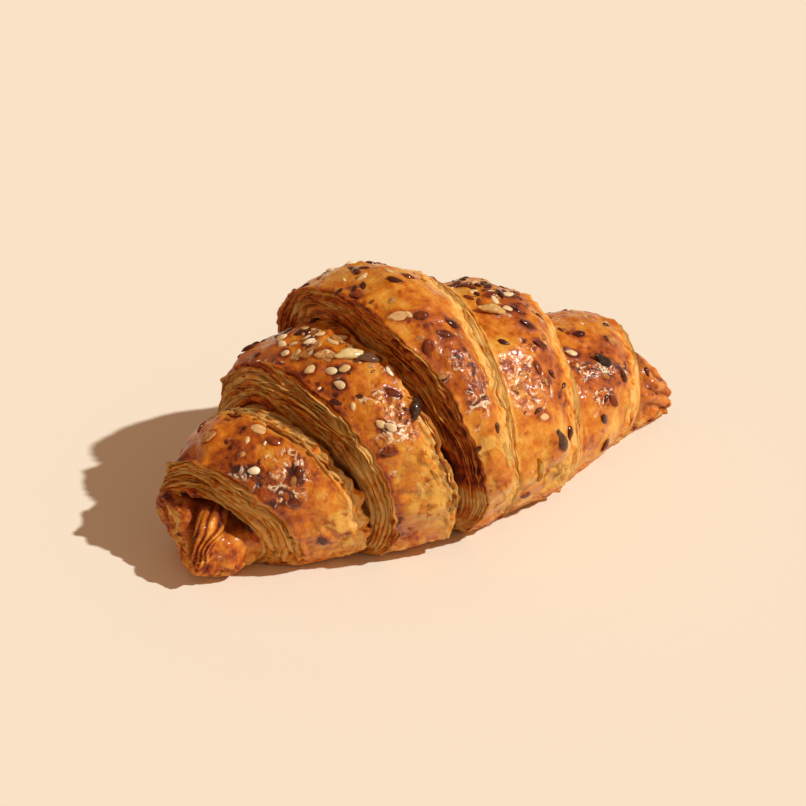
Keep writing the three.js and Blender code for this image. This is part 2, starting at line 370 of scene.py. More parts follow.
def startSkin():  # the smooth crust with, at each point, lift, bake, depth of gaps, bare sheets and grain
    base = smoothShape()
    step = np.linalg.norm(np.diff(base, axis=0), axis=-1)
    run = np.concatenate([np.zeros((1, base.shape[1])), np.cumsum(step, axis=0)])
    along = np.cumsum(np.linalg.norm(np.roll(base, -1, 1) - base, axis=-1), axis=1)
    centre = np.stack([base[..., 0], base[..., 1] * 0, base[..., 2] * 0 + crust["core"]], -1)
    radial = base - centre
    radial /= np.maximum(np.linalg.norm(radial, axis=-1, keepdims=True), 1e-9)
    kinds = np.array([stretches[ringTable[i][0]][1] for i in rowIndex])
    glazed = (kinds == "glaze") | (kinds == "nub")
    turn = np.degrees(angleGrid)
    # this mark holds the crust's browning, and also painted light and shade: the strips' paler and darker
    # fronts, the crown's browner strip, the sheet edges' pale tips, the left end's hollow and pleats, the
    # seeds' rings and the right end's creases
    bake = 0.33 + 0.15 * field(base, 16.0, 1) + 0.12 * field(base, 5.0, 2) + 0.08 * field(base, 2.2, 3)
    bake += 0.08 * smooth(0, -45, base[..., 0]) + 0.1 * smooth(5, 40, base[..., 0])
    return SimpleNamespace(
        base=base, shape=base.copy(), run=run, along=along, radial=radial, turn=turn, bake=bake,
        onGlaze=np.broadcast_to(glazed[:, None], run.shape).astype(float),
        faced=smooth(-85, -35, turn),  # the strips of sheets stand out least on the far side
        lift=np.zeros_like(run), depth=np.zeros_like(run), sheet=np.zeros_like(run),
        grain=np.stack([run * 0.55, along * 0.14, np.zeros_like(run)], -1))


def awayFrom(skin, name, share, around):  # distance from a place on a wrap, in mm
    return np.linalg.norm(skin.base - wrapPoint(name, share, around), axis=-1)


# painted shade: this raises the 'gap' mark, which darkens the crust's colour towards near-black brown where
# the surface goes in
def paintGapShade(skin, depth):
    skin.depth = np.maximum(skin.depth, depth)


def glazeRelief(skin):  # soft lumps, blisters, lifted flakes, and glaze round the seeds
    base, onGlaze = skin.base, skin.onGlaze
    skin.lift += crust["lumps"][1] * field(base, crust["lumps"][0], 11) * (0.4 + 0.6 * onGlaze)
    skin.lift += crust["dimples"][1] * field(base, crust["dimples"][0], 12) * onGlaze
    skin.lift += crust["wrinkles"][1] * field(base, crust["wrinkles"][0], 13) * onGlaze
    nearest, _, value = cells(base, crust["blisters"][0], 5)
    bubbly = smooth(-0.1, 0.5, field(base, 10.0, 14)) * onGlaze
    blister = smooth(0.5, 0.12, nearest) * bubbly * (0.3 + value)
    skin.lift += crust["blisters"][1] * blister
    skin.bake += 0.1 * blister
    flaky = np.zeros_like(skin.lift)
    for name, share, around, reach in flakyPlaces:
        flaky = np.maximum(flaky, near(awayFrom(skin, name, share, around), reach))
    bend = np.stack([field(base, 6.0, seed) for seed in (31, 32, 33)], -1)
    ragged = np.stack([field(base, 1.8, seed) for seed in (34, 35, 36)], -1)
    nearest, second, value = cells(base + 2.2 * bend + 0.7 * ragged, crust["flakes"][0], 9)
    plate = smooth(0.3, 0.55, flaky + 0.15 * field(base, 5.0, 37)) * onGlaze
    skin.lift += plate * (crust["flakes"][1] * np.abs(value) - 0.4)
    skin.bake += plate * (0.28 * value - 0.1)
    # painted shade along the cracks between lifted flakes
    paintGapShade(skin, plate * smooth(0.06, 0.0, second - nearest) * 0.45)
    for middle, turn in seedSpots.values():
        beside = (base - middle / mm) @ turn
        away = np.linalg.norm(beside * np.array([0.62, 1.0, 1.0]), axis=-1)
        skin.lift += 0.32 * near(away - 1.7, 0.8) - 0.15 * near(away, 1.1)
        # a browner ring round each seed: caramelised glaze, and painted shade where the seed meets the crust
        skin.bake += 0.3 * near(away - 1.3, 0.7)


def stripRelief(skin):  # strips where the edges of the dough's sheets show
    for number in range(1, len(ringTable)):
        name = ringTable[number][0]
        _, kind, count, out, tone = stretches[name]
        if kind not in ("sheets", "pale"):
            continue
        mask = rowIndex == number
        base, turn, along = skin.base[mask], skin.turn[mask], skin.along[mask]
        share = np.broadcast_to(rowShare[mask][:, None], turn.shape)
        height, sheetTone, groove, phase = sheets(base, share, count, number * 3)
        edge = smooth(0, sheetForm["fade"], share) * smooth(1, 0.95, share)
        skin.lift[mask] += out * height * edge * (0.4 + 0.6 * skin.faced[mask])
        skin.sheet[mask] = smooth(0, 0.04, share) * smooth(1, 0.97, share) * (1 if kind == "sheets" else 0.7)
        # painted shade in the grooves between the sheets
        grooved = groove ** sheetForm["groove"] * edge * (1 if kind == "sheets" else 0.6)
        skin.depth[mask] = np.maximum(skin.depth[mask], grooved)
        skin.bake[mask] = tone + 0.34 * sheetTone + 0.14 * field(base, 3.0, 4)
        # painted light pales the low and shoulder strips' fronts, and painted shade darkens the crown strip's
        # front
        skin.bake[mask] -= frontLightAndShade.get(name, 0) * smooth(25, 75, turn) * smooth(103, 86, turn)
        skin.bake[mask] -= 0.16 * smooth(86, 103, turn)
        skin.grain[mask] = np.stack([phase * 3.1, along * 0.22, share * 0 + number * 7.0], -1)


def gapRelief(skin):  # dark gaps and holes where one wrap lies over the next
    # the gaps and holes are pushed in, and given painted shade
    for name, degrees, reach, deep in rimHoles:
        wavy = fromRing(skin.run, name) + 0.2 * field(skin.base, 3.0, 51)
        into = near(wavy, 2.0) * near(skin.turn - degrees, reach)
        skin.shape -= skin.radial * (into * deep * crust["gapDepth"])[..., None]
        paintGapShade(skin, into)
    for name, deep in rimGaps.items():
        into = near(fromRing(skin.run, name), 1.6) * (0.75 + 0.4 * field(skin.base, 9.0, ringIndex[name]))
        skin.shape -= skin.radial * (into * crust["gapDepth"] * deep)[..., None]
        paintGapShade(skin, np.clip(into * (0.45 + deep * 0.55), 0, 1))


def rimRelief(skin):  # pale torn lips along the rims, and edges that wander
    base, run = skin.base, skin.run
    for name, (wide, up, tone, torn, crumb) in rimLips.items():
        inner = np.clip(run[ringRow[name]] - run, 0, 40)
        inner += 0.5 * field(base, 5.0, 52) * (inner > 0)
        lip = smooth(wide * 1.4, wide * 0.7, inner) * (run <= run[ringRow[name]] + 0.6)
        layers = np.sin(inner * 5.4 + 1.2 * field(base, 12.0, 56))
        crumbly = field(base, 6.0, 54) * 0.4
        skin.lift += lip * (up * (0.7 + crumbly) + torn * (0.2 * crumbly + 0.4 * layers) + 0.08 * layers)
        skin.bake += lip * (tone + 0.1 * field(base, 2.5, 55) - 0.14 * layers)
        skin.sheet = np.maximum(skin.sheet, lip * crumb)
        # painted shade under the lip's edge
        paintGapShade(skin, near(inner - wide, 0.45) * 0.6 * (inner > 0) * smooth(-0.3, 0.3, crumbly))
    for name, (reach, wander, up, tone) in wanderingEdges.items():
        away = fromRing(run, name)
        uneven = 0.7 + 0.7 * field(base, 5.0, ringIndex[name] + 40)
        skin.shape[..., 0] += tornEdge(base, run, name, reach, wander, ringIndex[name] * 5)
        skin.lift += near(away, 1.0) * up * uneven * skin.faced
        if name in ("lowLip", "shoulderLip"):  # these two lips would stick out at the far side
            skin.lift -= near(away, 2.5) * 0.9 * (1 - skin.faced) * smooth(-150, -110, skin.turn)
        skin.bake += near(away, 1.8) * tone


def brownCrust(skin):  # browner and paler places, and paler lower sides, which the oven's heat reaches least
    uneven = 1 + 0.35 * field(skin.base, 4.0, 8)
    for name, share, around, reach, tone in toneSpots:
        spot = near(awayFrom(skin, name, share, around) * uneven, reach)
        skin.bake += tone * spot * (0.4 + 0.6 * skin.onGlaze)
    skin.bake -= 0.14 * smooth(16, 2, skin.base[..., 2]) * skin.onGlaze


def footRelief(skin):  # near the base the dough is dull and crumbly, and the strips run out into it
    base, height = skin.base, skin.base[..., 2]
    (size, uneven), (crumb, crumbUp), (lump, lumpUp) = foot["uneven"], foot["crumb"], foot["lump"]
    pit, pitDown = foot["pit"]
    crumbly = smooth(*foot["height"], height + uneven * field(base, size, 71)) * (base[..., 0] > foot["from"])
    crumbs = field(base, crumb, 72)
    pits = smooth(0.3, 0.6, field(base, pit, 73)) * crumbly
    skin.lift += crumbly * (crumbUp * crumbs + lumpUp * field(base, lump, 74)) - pits * pitDown
    skin.bake += crumbly * (foot["bake"] + 0.2 * crumbs + 0.2 * field(base, 3.6, 75) - skin.bake) * 0.9
    # painted shade in the pits
    skin.depth = np.maximum(skin.depth * (1 - 0.8 * crumbly), pits * 0.7)
    skin.sheet = np.maximum(skin.sheet, 0.8 * smooth(13, 5, height + 2 * field(base, 5.0, 76)))


def leftEndRelief(skin):  # the curled end: a hood, a hollow behind it, and a pleated fold
    base, run, turn = skin.base, skin.run, skin.turn
    inside = (rowIndex <= ringIndex["lowFoot"])[:, None] * np.ones_like(run)
    fromHood = run[ringRow["lowFoot"]] - run
    hollow = near(fromHood - 3.8, 2.8) * (smooth(-45, -10, turn) * smooth(85, 50, turn)) * inside
    skin.shape += hollow[..., None] * leftEnd["hollow"] * np.array(leftEnd["hollowWay"])
    # the hollow behind the hood is painted darker, as shade under the hood
    paintGapShade(skin, hollow * 0.8)
    skin.bake += hollow * 0.35 + inside * (0.03 + 0.22 * field(base, 3.5, 67))
    skin.lift += inside * (0.35 * field(base, 2.6, 68) - 1.2 * near(turn + 90, 50))
    hood = near(fromRing(run, "lowFoot"), 1.3) * smooth(-55, -15, turn) * smooth(85, 50, turn)
    hoodOut = hood * (leftEnd["hood"] + 0.7 * field(base, 3.0, 61))
    skin.shape += hoodOut[..., None] * np.array(leftEnd["hoodWay"])

    away = base - np.array(leftEnd["foldFoot"])
    level, up = away @ np.array(leftEnd["level"]), away[..., 2]
    fan = np.degrees(np.arctan2(level + 0.5 * field(base, 4.0, 62), up + 3.0))
    fold = smooth(2, 6, fan) * smooth(26, 19, fan) * smooth(0, 6, up) * smooth(20, 16, up) * inside
    pleat = np.abs(np.sin(np.pi * fan / leftEnd["pleatWidth"] / 2 + 2.6 * field(base, 7.0, 63)))
    skin.lift += fold * (leftEnd["beak"] + 1.0 * (pleat - 0.5) + 0.9 * field(base, 3.0, 69))
    # browner in the grooves between pleats as painted shade, paler on their crests as painted light
    skin.bake += fold * (0.42 - 0.6 * pleat)
    paintGapShade(skin, fold * smooth(0.45, 0.1, pleat) * 0.75)
    bare = 0.45 * smooth(-60, -20, fan) * smooth(36, 28, fan) * inside
    skin.sheet = np.maximum(skin.sheet, bare)
    folded = fold > 0.02
    skin.grain[folded] = np.stack([fan, up * 1.5, up * 0], -1)[folded] * 0.3
    cleft = near(fan + 4, 5) * smooth(3, 8, up) * smooth(22, 17, up) * inside
    skin.lift -= cleft * leftEnd["cleft"]
    # painted shade in the cleft
    paintGapShade(skin, cleft * 0.85)

    wall = smooth(-10, -16, fan) * smooth(1, 5, up) * inside
    nearest, second, value = cells(base * np.array([1.0, 1.0, 1.8]), 3.2, 64)
    skin.lift += wall * (0.9 * value + 0.4 * smooth(0, 0.2, second - nearest) - 0.5)
    skin.bake += wall * (0.4 * value - 0.2)
    # painted shade in the cracks of the wall
    paintGapShade(skin, wall * smooth(0.08, 0.0, second - nearest) * 0.25)
    lobe = near(np.linalg.norm(base - np.array(leftEnd["lobe"]), axis=-1), 5.0) * inside
    skin.lift += lobe * leftEnd["lobeRise"]
    skin.bake -= lobe * 0.12
    dent = near(np.linalg.norm(base - np.array(leftEnd["dent"]), axis=-1), 2.3) * inside
    skin.lift -= dent * leftEnd["dentDepth"]
    # painted shade in the dent
    paintGapShade(skin, dent * 0.7)
    nearest, second, value = cells(base + 1.2 * field(base, 2.5, 66)[..., None], 4.5, 65)
    endFoot = smooth(9, 4, base[..., 2]) * smooth(34, 44, fan) * inside
    skin.lift += endFoot * (0.9 * value + 0.4 * smooth(0, 0.25, second - nearest) - 0.3)
    # painted shade in the cracks at the end's foot
    paintGapShade(skin, endFoot * smooth(0.1, 0.02, second - nearest) * 0.6)


def rightEndRelief(skin):  # the right end: dough folded into a few flat-sided lobes
    inside = (rowIndex >= ringIndex["tipRim"])[:, None] * np.ones_like(skin.run)
    start = skin.run - skin.run[ringRow["tipFoot"]]
    turn = skin.turn + 10 * field(skin.base, 6.0, 81)
    toCrease = np.min([np.abs(turn - crease - start * 0.9) for crease in rightEnd["creases"]], axis=0)
    fade = inside * smooth(0, 3, start)
    skin.lift += fade * (rightEnd["bulge"] * smooth(4, 22, toCrease) - rightEnd["depth"] * near(toCrease, 5))
    # painted shade in the creases: darker and browner there, paler on the lobes away from them
    paintGapShade(skin, fade * near(toCrease, 3.5) * 0.6)
    skin.bake += fade * (0.16 * near(toCrease, 9) - 0.12 * smooth(8, 26, toCrease))


def crustGrid():  # the crust's points, its smooth normals, and what the finish reads at each point
    skin = startSkin()
    for lay in (glazeRelief, stripRelief, gapRelief, rimRelief, brownCrust, footRelief,
                leftEndRelief, rightEndRelief):
        lay(skin)
    base, shape = skin.base, skin.shape
    normal = outward(base)
    shape += normal * (skin.lift * smooth(0.2, 4.0, base[..., 2]))[..., None]  # little relief at the ground
    under = base[..., 2] < 0.01
    wrinkle = np.clip(0.35 + 0.5 * field(base, 6.0, 21), 0, 0.8)
    shape[..., 2] = np.where(under, wrinkle * smooth(0, 3, np.abs(base[..., 1]) + 2), shape[..., 2])
    shape[..., 2] = np.maximum(shape[..., 2], 0)
    bake = np.where(under, 0.45 + 0.15 * field(base, 8.0, 22), skin.bake)
    wetGlint = np.zeros_like(bake)
    for name, share, around, reach in wetGlintPlaces:
        away = awayFrom(skin, name, share, around) * (1 + 0.8 * field(base, 3.6, 17))
        wetGlint = np.maximum(wetGlint, smooth(1.45, 0.75, away / reach))
    sheet = np.clip(skin.sheet, 0, 1)
    marks = {"wetGlint": wetGlint * (skin.onGlaze * (1 - sheet)), "bake": np.clip(bake, 0, 1), "sheet": sheet,
             "gap": np.clip(skin.depth, 0, 1), "glaze": skin.onGlaze, "grain": skin.grain}
    return shape, normal, marks


def setMark(mesh, key, values):  # stores a number or a vector for each point
    values = np.asarray(values, dtype=np.float32)
    if values.ndim == 1:
        mesh.attributes.new(key, "FLOAT", "POINT").data.foreach_set("value", values)
    else:
        mesh.attributes.new(key, "FLOAT_VECTOR", "POINT").data.foreach_set("vector", values.reshape(-1))


def meshPiece(name, verts, faces, marks):  # a smooth-shaded object from points in mm
    mesh = bpy.data.meshes.new(name)
    mesh.from_pydata((np.asarray(verts) * mm).tolist(), [], faces)
    mesh.polygons.foreach_set("use_smooth", [True] * len(mesh.polygons))
    for key, values in marks.items():
        setMark(mesh, key, values)
    mesh.update()
    piece = bpy.data.objects.new(name, mesh)
    bpy.context.collection.objects.link(piece)
    return piece


def gridPiece(name, points, marks):  # a closed skin over the grid, with a point on each end
    rows, around = points.shape[:2]

    def flat(grid):
        rest = grid.shape[2:]
        return np.concatenate([grid.reshape((-1,) + rest), grid[:1].mean(1), grid[-1:].mean(1)])

    ids = np.arange(rows * around).reshape(rows, around)
    nextIds = np.roll(ids, -1, 1)
    quads = np.stack([ids[:-1], nextIds[:-1], nextIds[1:], ids[1:]], -1).reshape(-1, 4)
    left, right = rows * around, rows * around + 1
    faces = quads.tolist()
    faces += [[left, b, a] for a, b in zip(ids[0].tolist(), nextIds[0].tolist())]
    faces += [[right, a, b] for a, b in zip(ids[-1].tolist(), nextIds[-1].tolist())]
    return meshPiece(name, flat(points), faces, {key: flat(grid) for key, grid in marks.items()})


shape, normals, marks = crustGrid()
pastry = gridPiece("baked_pastry", shape, marks)
print("croissant: crust laid,", len(pastry.data.polygons), "faces")


def ramp(tree, source, stops):  # colours by sRGB hex at their places
    made = node(tree, "ShaderNodeValToRGB", None, {"Fac": source})
    parts = made.color_ramp.elements
    while len(parts) < len(stops):
        parts.new(0.5)
    for part, (place, code) in zip(parts, stops):
        part.position = place
        part.color = linear(code)
    return made.outputs["Color"]


crustFinish = {  # lengths in mm
    "patch": 8.0,           # size of the patches of browning
    "mottle": 2.174,
    "spot": 2.381,          # caramel spots
    # the crinkles are bumped, and their crests carry painted glints
    "crinkle": 2.941,       # egg wash that dried glassy; a crinkle is about a third as wide
    "fine": 0.588,          # the dough's fine grain
    "washBump": 1.1,        # heights of the bumps
    "patchBump": 0.8,
    "mottleBump": 0.8,
    "sheetBump": 0.5,
    "fineBump": 0.2,
    "roughness": (0.42, 0.75),      # of the glazed skin, and of bare crumb and gaps
    "coat": (1.0, 0.08),            # how much of the egg wash's coat lies on each
    "coatRoughness": 0.16,
    "depthOfLight": 3.0,            # thin baked dough lets warm light through
}
# the glazed skin and the bare crumb from least to most browned, the pale cream of the painted glints on the
# egg wash's crinkles, and the painted shade deep in a gap
crustTones = {
    "skin": [(0.0, "#e2a845"), (0.2, "#d88f2a"), (0.38, "#cd7510"), (0.54, "#b65904"), (0.7, "#923e05"),
             (0.85, "#641f03"), (1.0, "#3a0e01")],
    "crumb": [(0.0, "#f5bf6c"), (0.16, "#ee9c38"), (0.36, "#dc7a1a"), (0.56, "#ba4e0a"), (0.78, "#7f2d06"),
              (1.0, "#461602")],
    "paintedGlint": "#ffeec4",
    "gap": "#3a1404",
}


def crustMaterial():  # egg-washed laminated dough: a glossy amber skin over matt, layered, golden crumb
    made = bpy.data.materials.new("egg_washed_laminated_dough")
    made.use_nodes = True
    tree = made.node_tree
    shader = tree.nodes["Principled BSDF"]
    place = node(tree, "ShaderNodeTexCoord").outputs["Object"]
    bakeAndShadingTone, sheet, gap, wetGlint = [node(tree, "ShaderNodeAttribute", {"attribute_name": key}).outputs["Fac"]
                                 for key in ("bake", "sheet", "gap", "wetGlint")]
    laid = node(tree, "ShaderNodeAttribute", {"attribute_name": "grain"}).outputs["Vector"]
    scale = {key: 1 / (crustFinish[key] * mm) for key in ("patch", "mottle", "spot", "crinkle", "fine")}
    bump = {key: crustFinish[key + "Bump"] * mm for key in ("wash", "patch", "mottle", "sheet", "fine")}
    # browning runs in patches, mottles and caramel spots, and the streaks follow the sheets' grain
    patch = node(tree, "ShaderNodeTexNoise", {"Scale": scale["patch"], "Detail": 4.0}, {"Vector": place})
    mottle = node(tree, "ShaderNodeTexNoise", {"Scale": scale["mottle"], "Detail": 8.0, "Roughness": 0.7},
                  {"Vector": place})
    fine = node(tree, "ShaderNodeTexNoise", {"Scale": scale["fine"], "Detail": 4.0}, {"Vector": place})
    streak = node(tree, "ShaderNodeTexNoise", {"Scale": 1.0, "Detail": 5.0, "Roughness": 0.6},
                  {"Vector": laid})
    spot = node(tree, "ShaderNodeTexVoronoi", {"Scale": scale["spot"], "Randomness": 1.0}, {"Vector": place})
    spotEdge = node(tree, "ShaderNodeMapRange", {"From Min": 0.42, "From Max": 0.2, "To Max": 0.32},
                    {"Value": spot})
    spotPlace = node(tree, "ShaderNodeMapRange", {"From Min": 0.5, "From Max": 0.62}, {"Value": patch})
    spots = node(tree, "ShaderNodeMath", {"operation": "MULTIPLY"}, {0: spotEdge, 1: spotPlace})
    # where egg wash pooled it crinkled: pale cream painted glints on the crinkles' crests, browner pits
    # between them
    crinkle = node(tree, "ShaderNodeTexNoise",
                   {"Scale": scale["crinkle"], "Detail": 3.0, "Roughness": 0.6, "Distortion": 1.3},
                   {"Vector": place})
    line = node(tree, "ShaderNodeMapRange", {"From Min": 0.54, "From Max": 0.565}, {"Value": crinkle})
    pit = node(tree, "ShaderNodeMapRange", {"From Min": 0.5, "From Max": 0.4, "To Max": 0.34},
               {"Value": crinkle})
    broken = node(tree, "ShaderNodeMapRange", {"From Min": 0.47, "From Max": 0.52}, {"Value": mottle})
    glintedWet = node(tree, "ShaderNodeMath", {"operation": "MULTIPLY"}, {0: broken, 1: wetGlint})
    wetGlintLine = node(tree, "ShaderNodeMath", {"operation": "MULTIPLY"}, {0: line, 1: glintedWet})
    wetPit = node(tree, "ShaderNodeMath", {"operation": "MULTIPLY_ADD"}, {0: pit, 1: wetGlint, 2: bakeAndShadingTone})
    withPatch = node(tree, "ShaderNodeMath", {"operation": "MULTIPLY_ADD", 1: 0.35},
                     {0: patch, 2: wetPit})
    withMottle = node(tree, "ShaderNodeMath", {"operation": "MULTIPLY_ADD", 1: 1.1},
                      {0: mottle, 2: withPatch})
    withSpots = node(tree, "ShaderNodeMath", {"operation": "ADD"}, {0: withMottle, 1: spots})
    layered = node(tree, "ShaderNodeMapRange", {"From Min": 0.32, "From Max": 0.68}, {"Value": streak})
    streakShare = node(tree, "ShaderNodeMapRange", {"To Min": 0.12, "To Max": 0.5}, {"Value": sheet})
    streaks = node(tree, "ShaderNodeMath", {"operation": "MULTIPLY"}, {0: layered, 1: streakShare})
    offset = node(tree, "ShaderNodeMath", {"operation": "MULTIPLY_ADD", 1: 0.5, 2: 0.73},
                  {0: streakShare})
    summed = node(tree, "ShaderNodeMath", {"operation": "ADD"}, {0: withSpots, 1: streaks})
    tone = node(tree, "ShaderNodeMath", {"operation": "SUBTRACT", "use_clamp": True},
                {0: summed, 1: offset})
    skin = ramp(tree, tone, crustTones["skin"])
    crumb = ramp(tree, tone, crustTones["crumb"])
    body = node(tree, "ShaderNodeMix", {"data_type": "RGBA"}, {0: sheet, 6: skin, 7: crumb})
    # painted glint: in the wet places the crinkles' crests are mixed towards pale cream
    pale = node(tree, "ShaderNodeMath", {"operation": "MULTIPLY", 1: 0.75}, {0: wetGlintLine})
    glinted = node(tree, "ShaderNodeMix", {"data_type": "RGBA", 7: linear(crustTones["paintedGlint"])},
                  {0: pale, 6: body.outputs[2]})
    # painted shade: where the 'gap' mark is high the colour is mixed towards the dark brown of a gap
    deep = node(tree, "ShaderNodeMath", {"operation": "MULTIPLY", 1: 0.8}, {0: gap})
    dark = node(tree, "ShaderNodeMix", {"data_type": "RGBA", 7: linear(crustTones["gap"])},
                {0: deep, 6: glinted.outputs[2]})
    tree.links.new(dark.outputs[2], shader.inputs["Base Color"])
    dull = node(tree, "ShaderNodeMath", {"operation": "MAXIMUM"}, {0: sheet, 1: gap})
    glazedRough, bareRough = crustFinish["roughness"]
    rough = node(tree, "ShaderNodeMapRange", {"To Min": glazedRough, "To Max": bareRough}, {"Value": dull})
    tree.links.new(rough.outputs[0], shader.inputs["Roughness"])
    shader.inputs["Specular IOR Level"].default_value = 0.2
    shader.inputs["Subsurface Weight"].default_value = 0.16
    shader.inputs["Subsurface Radius"].default_value = (1.0, 0.42, 0.12)
    shader.inputs["Subsurface Scale"].default_value = crustFinish["depthOfLight"] * mm
    glazedCoat, bareCoat = crustFinish["coat"]
    shiny = node(tree, "ShaderNodeMapRange", {"To Min": glazedCoat, "To Max": bareCoat}, {"Value": dull})
    washShare = node(tree, "ShaderNodeMapRange", {"To Min": 0.5, "To Max": 1.0}, {"Value": wetGlint})
    coat = node(tree, "ShaderNodeMath", {"operation": "MULTIPLY"}, {0: shiny, 1: washShare})
    tree.links.new(coat.outputs[0], shader.inputs["Coat Weight"])
    shader.inputs["Coat Roughness"].default_value = crustFinish["coatRoughness"]
    shader.inputs["Coat IOR"].default_value = 1.5
    crinkled = node(tree, "ShaderNodeMapRange", {"To Min": 0.3, "To Max": 1.0}, {"Value": wetGlint})
    washed = node(tree, "ShaderNodeBump", {"Distance": bump["wash"]},
                  {"Strength": crinkled, "Height": crinkle})
    glossy = node(tree, "ShaderNodeBump", {"Strength": 0.25, "Distance": bump["patch"]},
                  {"Height": patch, "Normal": washed})
    tree.links.new(glossy.outputs[0], shader.inputs["Coat Normal"])
    low = node(tree, "ShaderNodeBump", {"Strength": 0.6, "Distance": bump["mottle"]},
               {"Height": mottle, "Normal": glossy})
    streakBump = node(tree, "ShaderNodeBump", {"Distance": bump["sheet"]},
                      {"Strength": sheet, "Height": layered, "Normal": low})
    top = node(tree, "ShaderNodeBump", {"Strength": 0.2, "Distance": bump["fine"]},
               {"Height": fine, "Normal": streakBump})
    tree.links.new(top.outputs[0], shader.inputs["Normal"])
    return made


doughFinish = crustMaterial()
pastry.data.materials.append(doughFinish)
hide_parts("pastry")
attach(pastry, "root")

# Free edges of the dough's thin sheets that stand off the crust, in sets. A set's settings are, in order:
# end ring, how many, share from and to, degrees from and to, arc in degrees, width, lean in degrees, tone.
sheetEdges = {
    "thick": 0.3,           # thickness at the root, in mm
    "sunk": 0.9,            # how deep the root sits in the crust
    "step": 0.7,            # length of a piece of edge
    "ragged": (0.12, 1.6),  # least and most width of a ragged edge, as a share of the set's width
    "curl": 0.5,            # how far an edge may curl, as a share of its width
    "seed": 7,
    "sets": [
        ("lowLip", 14, 0.06, 0.95, -110, 105, (40, 110), (0.6, 1.7), (-40, 45), 0.16),
        ("shoulderLip", 22, 0.05, 0.95, -105, 102, (30, 100), (0.5, 1.7), (-40, 45), 0.16),
        # the crown's strip's edges are browner, as painted shade on the side turned from the sun
        ("crownLip", 26, 0.08, 0.95, -100, 88, (20, 80), (0.5, 1.5), (-40, 45), 0.46),
        ("crownLip", 5, 0.02, 0.2, -18, 6, (5, 12), (1.4, 2.8), (-30, 40), 0.3),
        ("slopeFoot", 8, 0.15, 0.9, -110, 115, (50, 130), (0.35, 0.7), (20, 55), 0.25),
        ("heelFoot", 8, 0.15, 0.9, -110, 115, (50, 130), (0.35, 0.7), (20, 55), 0.25),
        ("tipStep", 4, 0.2, 0.9, -100, 110, (60, 140), (0.4, 0.7), (20, 55), 0.25),
        ("lowRim", 8, 0.86, 0.995, -70, 110, (50, 120), (0.6, 1.1), (50, 76), 0.12),
        ("shoulderRim", 4, 0.93, 0.99, 40, 110, (20, 50), (0.6, 1.2), (40, 65), 0.25),
        ("shoulderRim", 4, 0.3, 0.72, 76, 106, (9, 18), (2.0, 3.4), (79, 84), 0.15),
        ("crownRim", 2, 0.5, 0.9, 76, 104, (6, 14), (1.2, 2.4), (78, 84), 0.25),
        ("slopeRim", 4, 0.2, 0.9, 85, 120, (7, 16), (1.2, 2.4), (76, 84), 0.25),
        ("slopeRim", 5, 0.2, 0.9, -110, -60, (8, 18), (1.4, 2.8), (76, 84), 0.22),
    ],
}
# round an edge's section: how far out, which side, share of the thickness, tone taken off (a paler thin tip
# with a painted highlight), painted shade where it sinks into the crust, grain
edgeSection = [
    (0, 1, 1.0, 0.0, 0.9, 0.0),
    (0.55, 1, 0.8, 0.4, 0.15, 1.2),
    (1, 1, 0.35, 1.0, 0.0, 2.0),
    (1, -1, 0.35, 1.0, 0.0, 2.4),
    (0.55, -1, 0.8, 0.4, 0.15, 1.2),
    (0, -1, 1.0, 0.0, 0.9, 0.0),
]
smoothAhead = np.gradient(smoothShape(), axis=0)


def between(grid, rows, columns):  # the grid's value between its points
    r = np.clip(np.floor(rows).astype(int), 0, len(grid) - 2)
    c = np.floor(columns).astype(int)
    pastRow, pastColumn = (rows - r)[:, None], (columns - c)[:, None]
    around = grid.shape[1]
    one = grid[r, c % around] * (1 - pastColumn) + grid[r, (c + 1) % around] * pastColumn
    two = grid[r + 1, c % around] * (1 - pastColumn) + grid[r + 1, (c + 1) % around] * pastColumn
    return one * (1 - pastRow) + two * pastRow


